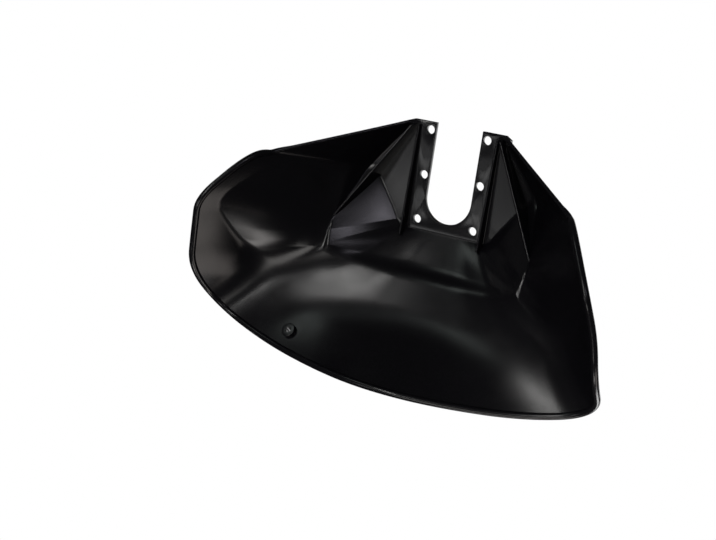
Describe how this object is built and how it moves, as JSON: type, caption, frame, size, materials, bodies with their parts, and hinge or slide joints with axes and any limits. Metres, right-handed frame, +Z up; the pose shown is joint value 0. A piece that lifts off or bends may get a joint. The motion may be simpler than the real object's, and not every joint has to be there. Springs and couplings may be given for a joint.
{
  "type": "trimmer blade guard",
  "caption": "One-piece moulded guard for a grass trimmer or brushcutter, with a slotted screw flange, folded wings and a rear skirt.",
  "frame": {"origin": "centre of the slot's round end, on the flange's mounting face", "axes": "+Z up in use, out of the mounting face; +Y to the rear, away from the slot's open end; +X to the side"},
  "size_m": [0.345, 0.199, 0.1187],
  "materials": {
    "guard_plastic": "black polypropylene as moulded, satin"
  },
  "bodies": {
    "root": {"guard": "guard_plastic"}
  },
  "joints": []
}
